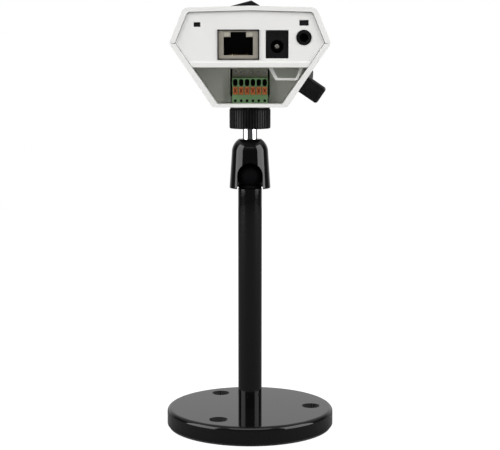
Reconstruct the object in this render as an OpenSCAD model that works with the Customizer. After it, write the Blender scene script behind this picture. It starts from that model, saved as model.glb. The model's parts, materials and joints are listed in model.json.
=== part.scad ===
/* [Base and pole] */
// Diameter of the round base
base_d = 74; // [68:0.5:90]
// Thickness of the base disc
base_h = 7.6; // [7:0.1:12]
// Diameter of the circle that the three fixing holes lie on
fixing_circle_d = 54.5; // [48:0.5:56]
// Diameter of each fixing hole
fixing_hole_d = 4.4; // [3.5:0.1:5]
// Diameter of the pole
pole_d = 10.5; // [10:0.1:10.6]
// Height of the ball joint's centre above the table
ball_z = 112.5; // [100:0.5:140]

/* [Ball joint and lock] */
// Diameter of the ball
ball_d = 12.6; // [12.4:0.1:12.6]
// Outer diameter of the bell at its lower edge
bell_d = 18; // [17.6:0.1:18.4]
// Diameter of the stem (1/4 inch camera thread)
stem_d = 6.35; // [6.35]
// Outer diameter of the lock knob
knob_d = 18; // [16:0.5:22]
// Number of ribs round the lock knob
knob_ribs = 48; // [36:2:60]

/* [Camera body] */
// Length of the body from the rear rim to the front edge
body_l = 105; // [100:1:120]
// Distance of the rear rim behind the stem's axis
rear_y = 30; // [30]
// Half width of the belly, the flat underside
belly_half_w = 15.5; // [15:0.1:16]
// Half width at the parting line, the widest place
widest_half_w = 33.5; // [33:0.1:34]
// Half width of the roof
roof_half_w = 27.5; // [27:0.1:28]
// Wall thickness of the slanted sides
wall = 2.2; // [2:0.1:2.4]

/* [Lens] */
// Height of the lens axis above the table
lens_z = 163.8; // [163:0.1:165]
// Outer radius of the zoom ring
zoom_ring_r = 17; // [16.5:0.1:17.5]
// Outer radius of the focus ring
focus_ring_r = 17.5; // [17:0.1:18]

/* [Terminal block] */
// Distance between neighbouring wire entries
pitch = 2.5; // [2.5]
// Number of wire entries
poles = 6; // [6]

/* [Hidden] */

$fn = 64;
eps = 0.01;
fit = 0.05;
gap = 0.3;

// Base: the disc stands on a thin pad
pad_h = 0.8;
pad_r = base_d / 2 - 0.8;
disc_z = pad_h;
disc_top = disc_z + base_h;
screw_r = 3;
screw_head_r = 6;
screw_head_h = 2.4;
pole_foot_z = disc_top - 3;
pole_r = pole_d / 2;

// Ball joint
ball_r = ball_d / 2;
shank_r = 2.5;
pole_top_z = ball_z - 5.75;
pole_chamfer = 0.35;
collar_r = 4.7;
socket_r = 7;
bell_bottom_z = ball_z - 5.9;
bell_taper_z = ball_z + 9.9;
bell_top_r = 8;
shoulder_r = 7;
shoulder_angle = 56;
bell_top_z = bell_taper_z + shoulder_r * sin(shoulder_angle);
slot_r = pole_r + 0.35;
seat_top_z = ball_z + 7.9;

// Body section in X and Z, from the belly's corner on the +X side round over the roof
belly_z = 143;
widest_z = 169.4;
roof_z = 184.1;
ridge_z = 184.8;
roof_wall = 1.9;
floor_wall = 1.3;
floor_z = belly_z + floor_wall;
section_points = [
  [belly_half_w, belly_z], [widest_half_w, widest_z], [roof_half_w, roof_z], [0, ridge_z],
  [-roof_half_w, roof_z], [-widest_half_w, widest_z], [-belly_half_w, belly_z]
];
outer_radii = [2, 2, 3.5, 0, 3.5, 2, 2];
inner_radii = [0.8, 0.8, 1.8, 0, 1.8, 0.8, 0.8];
edge_walls = [wall, wall, roof_wall, roof_wall, wall, wall, floor_wall];
front_y = rear_y - body_l;
bezel_t = 3.5;
bezel_y = front_y - bezel_t;
bezel_boss_r = 4;
bezel_boss_h = 7.4;
bezel_screw_l = 9;
knob_top_z = belly_z - gap;
knob_h = 9.9;
knob_r = knob_d / 2;
stem_top_z = belly_z + 7;

// Slanted side: its outward normal on the -X side, seen in the XZ plane
side_slope = atan2(widest_z - belly_z, widest_half_w - belly_half_w);
side_turn = -(180 - side_slope);

// Rear panel and recess
panel_y = rear_y - 0.8;
panel_t = 2;
bar_z = 159.5;
bar_h = 2.2;
well_y = 13;
well_t = 1.4;

// Threaded insert in the belly
insert_r = 4.4;
insert_h = 8.2;
insert_flange_r = 6;
insert_boss_r = 6.2;

// Boards
board_z = 160.9;
board_t = 1.6;
board_top = board_z + board_t;
board_half_w = 24;
board_rear_y = panel_y - panel_t - 0.3;
board_front_y = -52;
board_holes = [[20, 6], [-20, 6], [20, -49], [-20, -49]];

// Connectors on the main board: centre X, lowest Z, width, height
rj45_x = 4.85;
rj45_w = 16.5;
rj45_l = 21;
rj45_top = 174.7;
rj45_mouth_half_w = 6.1;
rj45_mouth_z = [164.5, 172];
rj45_key_half_w = 3.2;
rj45_key_top = 174.1;
rj45_depth = 12;
sheet_t = 0.3;
rj45_nose_z = 163.05;
dc_x = -11.2;
dc_w = 9.2;
dc_nose_z = 163.35;
dc_h = 12;
dc_hole_z = 168.1;
dc_hole_r = 2.75;
dc_pin_r = 1.05;
audio_x = -22.3;
audio_z = 171.8;
audio_r = 3;
audio_bore_r = 1.8;
audio_depth = 14;
reset_x = 21.9;
reset_z = 177.1;
led_x = -22.3;
led_z = 177.8;

// Terminal block
plug_w = poles * pitch + 0.2;
plug_y = 16;
plug_l = 8;
header_back_y = 6.4;
header_pin_l = 4.2;
plug_top_z = 155.1;
plug_z = floor_z + 0.05;
entry_z = 153.1;
tab_z = 149.6;
tab_h = 3.2;
test_z = 145.2;

// Auto-iris connector on the slanted side
iris_y = -40;
iris_s = 12.2;
iris_plug_w = 8.6;
iris_plug_l = 10;
iris_plug_out = 13;
iris_plug_in = 5.2;
iris_socket_in = 6.2;
iris_corner_r = 1.2;

// Lens, with lengths measured forward from the mount's flange
flange_y = bezel_y - 1;
thread_r = 12.65;
barrel_r = 15.5;
tube_r = 13;
motor_angle = 15;
motor_r = 26.6;
motor_half_w = 11;
motor_chamfer = 3.2;
motor_back = 3;
motor_front = 18;
relief_l = 3;
relief_at = 18;
lock_angle = 20;

// Route of the iris lead, from the plug to the motor
lead_r = 1.5;
lead_route = [
  [-27, -45, 152], [-26.9, -47.5, 152.2], [-26.6, -50.5, 153.6], [-27.2, -54.5, 157],
  [-29.9, -60, 161], [-32.9, -66, 165.3], [-35.6, -72, 169.5], [-34.9, -78, 173],
  [-31, -83, 176.5], [-26.5, -86.5, 180], [-21, -88.7, 183], [-15.5, -89.7, 185.2]
];

function unit(v) = v / norm(v);
function left_of(v) = [-v[1], v[0]];
function cyc(list, i) = list[(i + len(list)) % len(list)];

// Where two lines meet, each given by a point and a direction
function meet(p, u, q, v) =
  let (k = ((q[0] - p[0]) * v[1] - (q[1] - p[1]) * v[0]) / (u[0] * v[1] - u[1] * v[0]))
  p + k * u;

// A closed outline with each edge moved inwards by its own distance
function inset_outline(pts, moves) = [
  for (i = [0 : len(pts) - 1])
    let (
      before = unit(pts[i] - cyc(pts, i - 1)),
      after = unit(cyc(pts, i + 1) - pts[i])
    )
    meet(
      pts[i] + left_of(before) * cyc(moves, i - 1), before,
      pts[i] + left_of(after) * moves[i], after
    )
];

// Points of a rounded corner of a convex outline
function corner(before, p, after, r, steps = 6) =
  r == 0 ? [p] :
  let (
    u = unit(p - before),
    v = unit(after - p),
    turn = acos(u * v),
    start = p - u * r * tan(turn / 2),
    centre = start + left_of(u) * r,
    first = atan2(start[1] - centre[1], start[0] - centre[0])
  )
  [for (i = [0 : steps]) centre + r * [cos(first + turn * i / steps), sin(first + turn * i / steps)]];

function rounded(pts, radii) = [
  for (i = [0 : len(pts) - 1])
    each corner(cyc(pts, i - 1), pts[i], cyc(pts, i + 1), radii[i])
];

// Ribbed outline of a knurled ring
function knurl(r, depth, count) = [
  for (i = [0 : count - 1])
    each [
      for (step = [[0.05, r], [0.45, r], [0.6, r - depth], [0.9, r - depth]])
        let (a = 360 * (i + step[0]) / count)
        step[1] * [cos(a), sin(a)]
    ]
];

// A tube swept through a list of points, one ring at each, as one closed polyhedron
function sweep_dirs(pts) = [
  for (i = [0 : len(pts) - 1])
    unit(pts[min(i + 1, len(pts) - 1)] - pts[max(i - 1, 0)])
];
function sweep_ring(p, dir, r, sides) =
  let (
    side = unit(cross(dir, [0, 0, 1])),
    top = cross(side, dir)
  )
  [for (k = [0 : sides - 1]) p + r * (side * cos(360 * k / sides) + top * sin(360 * k / sides))];

module swept_tube(pts, r, sides = 8) {
  dirs = sweep_dirs(pts);
  rings = [for (i = [0 : len(pts) - 1]) each sweep_ring(pts[i], dirs[i], r, sides)];
  last = len(pts) - 1;
  walls = [
    for (i = [0 : last - 1], k = [0 : sides - 1])
      each [
        [i * sides + k, (i + 1) * sides + k, i * sides + (k + 1) % sides],
        [i * sides + (k + 1) % sides, (i + 1) * sides + k, (i + 1) * sides + (k + 1) % sides]
      ]
  ];
  near_end = [for (k = [0 : sides - 1]) k];
  far_end = [for (k = [sides - 1 : -1 : 0]) last * sides + k];
  polyhedron(rings, concat(walls, [near_end, far_end]));
}

module outer_outline(inset = 0) {
  polygon(rounded(
    inset_outline(section_points, [for (w = edge_walls) inset]),
    [for (r = outer_radii) max(r - inset, 0)]
  ));
}

module inner_outline(clear = 0) {
  polygon(rounded(inset_outline(section_points, [for (w = edge_walls) w + clear]), inner_radii));
}

// Extrudes an outline drawn in X and Z between two places along Y
module along_y(y_low, y_high) {
  translate([0, y_high, 0])
    rotate([90, 0, 0])
      linear_extrude(y_high - y_low)
        children();
}

// A block given by its ranges
module block(x, y, z) {
  translate([x[0], y[0], z[0]])
    cube([x[1] - x[0], y[1] - y[0], z[1] - z[0]]);
}

// Turned shapes: profile points are [radius, height]
module turned(points) {
  rotate_extrude($fn = 96)
    polygon(points);
}

// The lens's own frame: origin on the flange, +Z forward
module at_lens(forward = 0) {
  translate([0, flange_y - forward, lens_z])
    rotate([90, 0, 0])
      children();
}

// The connector's own frame on the slanted side: +Z outward, +X up the slope
module at_side() {
  translate([-belly_half_w, iris_y, belly_z])
    rotate([0, side_turn, 0])
      translate([iris_s, 0, 0])
        children();
}

module fixing_places() {
  for (a = [60, 180, 300])
    rotate([0, 0, a])
      translate([fixing_circle_d / 2, 0, 0])
        children();
}

module base_disc() {
  edge_r = 1.8;
  color("#1a1a1c")
    difference() {
      turned(concat(
        [[0, disc_z], [base_d / 2 - 0.4, disc_z], [base_d / 2, disc_z + 0.4]],
        [for (a = [0 : 15 : 90])
          [base_d / 2 - edge_r + edge_r * cos(a), disc_top - edge_r + edge_r * sin(a)]],
        [[0, disc_top]]
      ));
      cylinder(r = screw_r + 0.2, h = disc_top + 1);
      cylinder(r = screw_head_r + 0.2, h = pad_h + screw_head_h);
      translate([0, 0, pole_foot_z])
        cylinder(r = pole_r + fit, h = base_h);
      fixing_places() {
        cylinder(d = fixing_hole_d, h = disc_top + 1);
        translate([0, 0, disc_top - 1.9])
          cylinder(d1 = fixing_hole_d, d2 = fixing_hole_d + 3.9, h = 1.91);
      }
    }
}

module base_pad() {
  color("#2c2c2e")
    difference() {
      cylinder(r = pad_r, h = pad_h, $fn = 96);
      fixing_places()
        translate([0, 0, -1])
          cylinder(d = fixing_hole_d + 2, h = pad_h + 2);
    }
}

module base_screw() {
  color("silver")
    difference() {
      union() {
        translate([0, 0, pad_h])
          cylinder(r = screw_head_r, h = screw_head_h);
        translate([0, 0, pad_h])
          cylinder(r = screw_r, h = 16);
      }
      translate([0, 0, pad_h - eps])
        cylinder(r = 2, h = 1.6, $fn = 6);
    }
}

module pole() {
  color("#161618")
    difference() {
      turned([
        [0, pole_foot_z], [pole_r, pole_foot_z], [pole_r, pole_top_z - pole_chamfer],
        [pole_r - pole_chamfer, pole_top_z], [0, pole_top_z]
      ]);
      translate([0, 0, pole_foot_z - eps])
        cylinder(r = screw_r + fit, h = 13);
      translate([0, 0, pole_top_z - 12])
        cylinder(r = shank_r + fit, h = 13);
      translate([0, 0, pole_top_z - 0.7])
        cylinder(r = 3.1, h = 1);
    }
}

module ball_stud() {
  color("#202022") {
    translate([0, 0, ball_z])
      sphere(r = ball_r, $fn = 96);
    intersection() {
      translate([0, 0, ball_z])
        sphere(r = ball_r + 0.45, $fn = 96);
      translate([0, 0, pole_top_z + 0.1])
        cylinder(r = collar_r, h = 1.05);
    }
    translate([0, 0, pole_top_z - 11])
      cylinder(r = shank_r, h = 12);
  }
}

// Way for the pole when the bell lies over on its side
module pole_slot() {
  translate([0, 0, ball_z])
    rotate([-90, 0, 0])
      cylinder(r = slot_r, h = bell_d);
  block([-slot_r, slot_r], [0, bell_d], [bell_bottom_z - 1, ball_z]);
}

module ball_seat() {
  color("#2a2a2c")
    difference() {
      translate([0, 0, ball_z + 2])
        cylinder(r = socket_r - fit, h = seat_top_z - ball_z - 2);
      translate([0, 0, ball_z])
        sphere(r = ball_r + fit, $fn = 96);
      pole_slot();
    }
}

// Open ring under the ball, which keeps it from dropping out of the bell
module ball_clip() {
  color("silver")
    difference() {
      translate([0, 0, ball_z - 4.2])
        cylinder(r = socket_r - fit, h = 1.1);
      translate([0, 0, ball_z - 5])
        cylinder(r = ball_r - 0.68, h = 3);
      block([-slot_r, slot_r], [0, 20], [ball_z - 6, ball_z]);
    }
}

module bell_cap() {
  edge_r = 0.5;
  color("#161618")
    difference() {
      turned(concat(
        [[0, bell_bottom_z], [bell_d / 2 - edge_r, bell_bottom_z], [bell_d / 2, bell_bottom_z + edge_r]],
        [for (a = [0 : 7 : shoulder_angle])
          [bell_top_r - shoulder_r + shoulder_r * cos(a), bell_taper_z + shoulder_r * sin(a)]],
        [[0, bell_top_z]]
      ));
      translate([0, 0, bell_bottom_z - 1])
        cylinder(r = socket_r, h = seat_top_z - bell_bottom_z + 1);
      translate([0, 0, bell_bottom_z - eps])
        cylinder(r1 = socket_r + 0.5, r2 = socket_r, h = 1);
      cylinder(d = stem_d + 0.1, h = bell_top_z + 1);
      pole_slot();
    }
}

module stem() {
  color("#d8dade")
    translate([0, 0, seat_top_z])
      cylinder(d = stem_d, h = stem_top_z - seat_top_z);
}

module lock_knob() {
  color("#242426")
    difference() {
      union() {
        translate([0, 0, knob_top_z - knob_h])
          linear_extrude(knob_h - 1)
            polygon(knurl(knob_r, 0.35, knob_ribs));
        translate([0, 0, knob_top_z - 1.2])
          cylinder(r = knob_r - 0.3, h = 1.2);
      }
      translate([0, 0, knob_top_z - knob_h - 1])
        cylinder(d = stem_d + 0.1, h = knob_h + 2);
      translate([0, 0, knob_top_z - knob_h - eps])
        cylinder(r = 5.4, h = 1.2);
    }
}

// Hollow tube of the body, with the roof, sides and floor at their own thickness
module body_tube() {
  along_y(front_y, rear_y)
    difference() {
      outer_outline();
      inner_outline();
    }
}

module bezel_screw_places() {
  for (s = [-1, 1], place = [[23, 178.6], [16, 149.5]])
    translate([s * place[0], bezel_y, place[1]])
      rotate([-90, 0, 0])
        children();
}

module bezel_bosses(z_low, z_high) {
  intersection() {
    bezel_screw_places()
      translate([0, 0, bezel_t])
        cylinder(r = bezel_boss_r, h = bezel_boss_h);
    along_y(front_y, rear_y)
      outer_outline(1);
    block([-40, 40], [front_y - 1, rear_y], [z_low, z_high]);
  }
}

module shell_screw_places() {
  for (s = [-1, 1])
    translate([s * 10, -60, 0])
      children();
}

module lower_shell() {
  color("#ecebe8")
    difference() {
      union() {
        intersection() {
          body_tube();
          block([-40, 40], [front_y - 1, rear_y + 1], [belly_z - 1, widest_z - 0.12]);
        }
        bezel_bosses(belly_z, 160);
        translate([0, 0, belly_z])
          cylinder(r = insert_boss_r, h = insert_h);
        intersection() {
          for (p = board_holes)
            translate([p[0], p[1], belly_z])
              cylinder(r = 3, h = board_z - belly_z);
          along_y(front_y, rear_y)
            outer_outline(1);
        }
        shell_screw_places()
          translate([0, 0, belly_z])
            cylinder(r = 4, h = 3.5);
      }
      translate([0, 0, belly_z - 1])
        cylinder(r = insert_r + fit, h = insert_h + 2);
      for (p = board_holes)
        translate([p[0], p[1], board_z - 6])
          cylinder(r = 1.25, h = 8);
      shell_screw_places() {
        translate([0, 0, belly_z - 1])
          cylinder(r = 1.7, h = 6);
        translate([0, 0, belly_z - 1])
          cylinder(r = 3.1, h = 2.8);
      }
      bezel_screw_places()
        cylinder(r = 1.25, h = bezel_screw_l + 1);
      at_side()
        translate([0, 0, -2])
          cube([iris_plug_w + 1.6, iris_plug_l + 1.6, 10], center = true);
      for (s = [-1, 1])
        translate([s * 28.1, rear_y, 161.2])
          rotate([0, s * (90 - side_slope), 0])
            cube([1, 6, 1.7], center = true);
    }
}

module upper_shell() {
  post_foot_z = belly_z + 3.6;
  color("#f2f1ee")
    difference() {
      union() {
        intersection() {
          body_tube();
          block([-40, 40], [front_y - 1, rear_y + 1], [widest_z + 0.12, ridge_z + 1]);
        }
        bezel_bosses(170, ridge_z);
        shell_screw_places()
          translate([0, 0, post_foot_z])
            cylinder(r = 3, h = ridge_z - 1 - post_foot_z);
        for (y = [-45, 10])
          intersection() {
            along_y(y - 5, y + 5)
              difference() {
                inner_outline(-0.2);
                inner_outline(1.2);
              }
            block([-40, 40], [-60, 30], [widest_z + 0.12, widest_z + 4]);
          }
        for (y = [-45, 10])
          intersection() {
            along_y(y - 4, y + 4)
              difference() {
                inner_outline(0.15);
                inner_outline(1.2);
              }
            block([-40, 40], [-60, 30], [widest_z - 4, widest_z + 1]);
          }
      }
      shell_screw_places()
        translate([0, 0, post_foot_z - 1])
          cylinder(r = 1.25, h = 14);
      bezel_screw_places()
        cylinder(r = 1.25, h = bezel_screw_l + 1);
    }
}

module rear_panel() {
  inner_y = panel_y - panel_t;
  color("#f0efec")
    difference() {
      union() {
        intersection() {
          along_y(inner_y, panel_y)
            inner_outline(0.15);
          block([-40, 40], [0, 40], [bar_z, ridge_z]);
        }
        intersection() {
          along_y(inner_y, panel_y + 0.4)
            inner_outline(0.15);
          block([-40, 40], [0, 40], [bar_z, bar_z + bar_h]);
        }
      }
      block([rj45_x - rj45_w / 2 - gap, rj45_x + rj45_w / 2 + gap], [inner_y - 1, rear_y], [162.9, 175]);
      block([dc_x - dc_w / 2 - 0.15, dc_x + dc_w / 2 + 0.15], [inner_y - 1, rear_y], [163.2, 174.8]);
      translate([audio_x, inner_y - 1, audio_z])
        rotate([-90, 0, 0])
          cylinder(r = audio_r + 0.15, h = 4);
      block([reset_x - 1.4, reset_x + 1.4], [inner_y - 1, rear_y], [reset_z - 0.95, reset_z + 0.95]);
      block([led_x - 1.9, led_x + 1.9], [inner_y - 1, rear_y], [led_z - 1.15, led_z + 1.15]);
    }
}

// Ceiling and back wall of the recess under the cross bar
module recess_liner() {
  back_y = well_y - well_t;
  color("#ebeae6")
    difference() {
      union() {
        intersection() {
          along_y(back_y, panel_y - panel_t - 0.05)
            inner_outline(0.15);
          block([-40, 40], [0, 40], [bar_z, bar_z + 1.1]);
        }
        intersection() {
          along_y(back_y, well_y)
            inner_outline(0.15);
          block([-40, 40], [0, 40], [floor_z, bar_z + 1.1]);
        }
      }
      block([-8.4, 8.4], [0, 20], [147.2, 158.9]);
      block([-plug_w / 2 - gap, plug_w / 2 + gap], [0, 20], [floor_z - 1, 148]);
    }
}

// U-shaped hook that the cables are tied to, under the cross bar
module cable_hook() {
  outline = [[-7.6, bar_z], [-10.7, 154.1], [-19.9, 154.1], [-22.2, bar_z]];
  inner = [[-8.9, bar_z + 1], [-11.5, 155.1], [-19.2, 155.1], [-21.2, bar_z + 1]];
  color("#e6e6e2")
    along_y(22, 26)
      difference() {
        polygon(outline);
        polygon(inner);
      }
}

module front_bezel() {
  color("#f0efec")
    difference() {
      union() {
        along_y(bezel_y + 1.2, front_y)
          outer_outline();
        along_y(bezel_y + 0.6, front_y)
          outer_outline(0.35);
        along_y(bezel_y, front_y)
          outer_outline(1.2);
        along_y(front_y, front_y + 1.5)
          inner_outline(0.2);
      }
      at_lens()
        translate([0, 0, -12])
          cylinder(r = 16.2, h = 14);
      bezel_screw_places() {
        translate([0, 0, -1])
          cylinder(r = 1.7, h = 10);
        translate([0, 0, -1])
          cylinder(r = 2.9, h = 2.8);
        translate([0, 0, bezel_t])
          cylinder(r = bezel_boss_r + 0.3, h = 3);
      }
      translate([-23, bezel_y - 1, 160])
        rotate([-90, 0, 0])
          cylinder(r = 0.8, h = 8);
    }
}

module bezel_screws() {
  color("silver")
    bezel_screw_places()
      difference() {
        union() {
          cylinder(r = 2.7, h = 1.8);
          cylinder(r = 1.2, h = bezel_screw_l);
        }
        translate([0, 0, -eps])
          cylinder(r = 1.2, h = 1.1, $fn = 6);
      }
}

module shell_screws() {
  color("silver")
    shell_screw_places()
      translate([0, 0, belly_z + 0.1])
        difference() {
          union() {
            cylinder(r = 2.9, h = 1.7);
            cylinder(r = 1.2, h = 14);
          }
          translate([0, 0, -eps])
            cylinder(r = 1.2, h = 1, $fn = 6);
        }
}

module tripod_insert() {
  color("#c8b060")
    translate([0, 0, belly_z])
      difference() {
        union() {
          cylinder(r = insert_r, h = insert_h + 0.1);
          translate([0, 0, insert_h + fit])
            cylinder(r = insert_flange_r, h = 1.2);
        }
        translate([0, 0, -1])
          cylinder(d = stem_d + 0.1, h = insert_h);
      }
}

module main_board() {
  color("#1e6b3a")
    difference() {
      block([-board_half_w, board_half_w], [board_front_y, board_rear_y], [board_z, board_top]);
      for (p = board_holes)
        translate([p[0], p[1], board_z - 1])
          cylinder(r = 1.5, h = 4);
    }
}

module board_screws() {
  color("silver")
    for (p = board_holes)
      translate([p[0], p[1], 0])
        difference() {
          union() {
            translate([0, 0, board_top])
              cylinder(r = 2.6, h = 1.5);
            translate([0, 0, board_top - 6])
              cylinder(r = 1.2, h = 6.5);
          }
          translate([0, 0, board_top + 0.6])
            cylinder(r = 1.1, h = 1, $fn = 6);
        }
}

module processor() {
  color("#303236") {
    block([-9, 9], [-34, -16], [board_top, board_top + 1.6]);
    block([-12, -3], [-12, -4], [board_top, board_top + 1.2]);
    block([2, 12], [-12, -5], [board_top, board_top + 1.2]);
  }
}

module flat_cable() {
  color("#d8d4c4") {
    block([-6, 6], [-63, -44], [board_top, board_top + 0.3]);
    block([-6, 6], [-63.3, -63], [board_top, 170]);
    block([-6, 6], [-65.4, -63], [169.7, 170]);
  }
}

// Stepped mouth of the network socket, for a plug with its latch upwards
module rj45_mouth(y_low, y_high) {
  mouth = rj45_mouth_half_w;
  block([rj45_x - mouth, rj45_x + mouth], [y_low, y_high], rj45_mouth_z);
  block(
    [rj45_x - rj45_key_half_w, rj45_x + rj45_key_half_w],
    [y_low, y_high],
    [rj45_mouth_z[1] - eps, rj45_key_top]
  );
}

// Windows of the two lights in the upper corners of the mouth
module rj45_windows(y_low, y_high, clear = 0) {
  for (s = [-1, 1])
    translate([rj45_x + s * 4.75, 0, 0])
      block([-1.35 + clear, 1.35 - clear], [y_low, y_high], [172.2 + clear, 174.1 - clear]);
}

// Step under a socket's nose, which clears the lower edge of its opening in the rear panel
module socket_step(z) {
  block([-40, 40], [panel_y - panel_t - 0.15, panel_y + 1], [board_top - 1, z]);
}

// Folded sheet metal round the socket, with a front plate
module rj45_shield() {
  x = [rj45_x - rj45_w / 2, rj45_x + rj45_w / 2];
  y = [panel_y - rj45_l, panel_y - 0.1];
  color("#b8b2a4")
    difference() {
      block(x, y, [board_top, rj45_top]);
      block(
        [x[0] + sheet_t, x[1] - sheet_t],
        [y[0] - 1, y[1] - sheet_t],
        [board_top - 1, rj45_top - sheet_t]
      );
      rj45_mouth(y[1] - 1, y[1] + 1);
      rj45_windows(y[1] - 1, y[1] + 1);
      socket_step(rj45_nose_z);
    }
}

// Black moulding inside the network socket
module rj45_insert() {
  x = [rj45_x - rj45_w / 2 + sheet_t, rj45_x + rj45_w / 2 - sheet_t];
  y = [panel_y - rj45_l + 0.2, panel_y - 0.1 - sheet_t];
  color("#17171a")
    difference() {
      block(x, y, [board_top, rj45_top - sheet_t]);
      rj45_mouth(y[1] - rj45_depth, y[1] + 1);
      rj45_windows(y[1] - 5, y[1] + 1);
      socket_step(rj45_nose_z + sheet_t);
    }
}

module rj45_contacts() {
  y = panel_y - 0.4 - rj45_depth;
  color("#d8b45a")
    for (i = [0 : 7])
      translate([rj45_x + (i - 3.5) * 1.02, 0, 0])
        block([-0.2, 0.2], [y, y + 8], [rj45_mouth_z[0], rj45_mouth_z[0] + 0.4]);
}

module rj45_lights() {
  color("#e4e2d8")
    rj45_windows(panel_y - 5.2, panel_y - 0.15, 0.05);
}

module dc_jack() {
  y = [panel_y - 14, panel_y - 0.1];
  color("#141416")
    difference() {
      block([dc_x - dc_w / 2, dc_x + dc_w / 2], y, [board_top, board_top + dc_h]);
      translate([dc_x, y[1] - 10, dc_hole_z])
        rotate([-90, 0, 0])
          cylinder(r = dc_hole_r, h = 12);
      socket_step(dc_nose_z);
    }
}

module dc_pin() {
  y = [panel_y - 10.1, panel_y - 0.9];
  color("#dcdee2") {
    translate([dc_x, y[0], dc_hole_z])
      rotate([-90, 0, 0])
        cylinder(r = dc_pin_r, h = y[1] - y[0] - 0.4);
    translate([dc_x, y[1] - 0.4, dc_hole_z])
      rotate([-90, 0, 0])
        cylinder(r1 = dc_pin_r, r2 = dc_pin_r - 0.4, h = 0.4);
  }
}

module audio_jack() {
  body_y = panel_y - panel_t - 0.3;
  color("#1a1a1c")
    difference() {
      union() {
        block([audio_x - 3, audio_x + 3], [body_y - 12, body_y], [166, audio_z + 4]);
        translate([audio_x, body_y - 0.1, audio_z])
          rotate([-90, 0, 0])
            cylinder(r = audio_r, h = panel_y - body_y + 0.4);
      }
      translate([audio_x, panel_y + 0.3 - audio_depth, audio_z])
        rotate([-90, 0, 0])
          cylinder(r = audio_bore_r, h = audio_depth + 1);
    }
}

module led_lens() {
  color("#2a2a2c")
    block([led_x - 1.8, led_x + 1.8], [panel_y - 5, panel_y - 0.5], [led_z - 1.05, led_z + 1.05]);
}

module reset_button() {
  color("#2a2a2c") {
    block([reset_x - 1.1, reset_x + 1.1], [panel_y - 6, panel_y - 0.6], [reset_z - 0.7, reset_z + 0.7]);
    block([reset_x - 1.9, reset_x + 1.9], [panel_y - 7, panel_y - 5.4], [reset_z - 1.4, reset_z + 1.4]);
  }
}

module reset_switch() {
  color("#44464a") {
    block([reset_x - 3, reset_x + 1], [panel_y - 12, panel_y - 8.3], [reset_z - 3, reset_z + 3]);
    block([reset_x - 2.4, reset_x - 1.6], [panel_y - 11, panel_y - 10], [board_top, reset_z - 3]);
  }
}

module terminal_places() {
  for (i = [0 : poles - 1])
    translate([(i - (poles - 1) / 2) * pitch, 0, 0])
      children();
}

module terminal_header() {
  plate_y = plug_y - plug_l - 0.2;
  color("#d4d0c0") {
    block([-plug_w / 2, plug_w / 2], [header_back_y, plate_y], [plug_z + 0.3, board_z - 0.2]);
    block([-plug_w / 2, plug_w / 2], [plate_y - eps, plate_y + 3.4], [plug_top_z + 0.3, board_z - 0.2]);
    terminal_places()
      translate([0, plate_y - 1, entry_z - 3])
        rotate([-90, 0, 0])
          cylinder(r = 0.4, h = header_pin_l + 1);
  }
}

module terminal_plug() {
  y = [plug_y - plug_l, plug_y];
  color("#6fa565")
    difference() {
      block([-plug_w / 2, plug_w / 2], y, [plug_z, plug_top_z]);
      terminal_places() {
        for (dz = [-0.35, 0.35])
          translate([0, y[1] - 6.5, entry_z + dz])
            rotate([-90, 0, 0])
              cylinder(r = 0.95, h = 7.5);
        block([-1.05, 1.05], [y[1] - 3, y[1] + 1], [tab_z - tab_h / 2 - 0.1, tab_z + tab_h / 2 + 0.1]);
        translate([0, y[1] - 3, test_z])
          rotate([-90, 0, 0])
            cylinder(r = 0.6, h = 4);
        translate([0, y[0] - 1, entry_z - 3])
          rotate([-90, 0, 0])
            cylinder(r = 0.6, h = header_pin_l + 1.2);
      }
    }
}

// One spring-loaded release tab of the terminal block, with its cross slot
module terminal_tab(i) {
  color("#d8733a")
    translate([(poles - 1) / 2 * pitch - (i - 1) * pitch, plug_y, tab_z])
      difference() {
        block([-0.95, 0.95], [-1.8, 0.5], [-tab_h / 2, tab_h / 2]);
        block([-0.2, 0.2], [0.1, 1], [-1.1, 1.1]);
        block([-0.6, 0.6], [0.1, 1], [-0.2, 0.2]);
      }
}

module rounded_bar(w, l, h, r) {
  linear_extrude(h)
    polygon(rounded([[w / 2, -l / 2], [w / 2, l / 2], [-w / 2, l / 2], [-w / 2, -l / 2]], [r, r, r, r]));
}

module iris_socket() {
  color("#1c1c1e")
    at_side()
      difference() {
        translate([0, 0, -iris_socket_in])
          rounded_bar(iris_plug_w + 1.4, iris_plug_l + 1.4, iris_socket_in, 0.8);
        translate([0, 0, -iris_plug_in])
          rounded_bar(iris_plug_w + 0.1, iris_plug_l + 0.1, 8, 0.6);
      }
}

module iris_plug() {
  color("#121214")
    at_side() {
      translate([0, 0, -iris_plug_in])
        rounded_bar(iris_plug_w - 0.4, iris_plug_l - 0.4, iris_plug_in + 1, 0.6);
      rounded_bar(iris_plug_w, iris_plug_l, iris_plug_out, iris_corner_r);
    }
}

module iris_lead() {
  out = motor_half_w + relief_l;
  motor_end = [
    for (reach = [out + 2, out + 0.1])
      [
        relief_at * sin(motor_angle) - reach * cos(motor_angle),
        flange_y - 10.5,
        lens_z + relief_at * cos(motor_angle) + reach * sin(motor_angle)
      ]
  ];
  color("#1a1a1c")
    swept_tube(concat(lead_route, motor_end), lead_r);
}

module cs_mount() {
  color("#a8aaae")
    at_lens()
      turned([
        [thread_r + 0.1, -9], [barrel_r, -9], [barrel_r, -2], [16, -2],
        [16, 0], [thread_r + 0.1, 0]
      ]);
}

module sensor_board() {
  color("#1e6b3a")
    block([-16, 16], [-67, -65.4], [lens_z - 13.5, lens_z + 13.5]);
}

module image_sensor() {
  color("#3a3f4c")
    block([-5, 5], [-68.2, -67], [lens_z - 5, lens_z + 5]);
}

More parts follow.
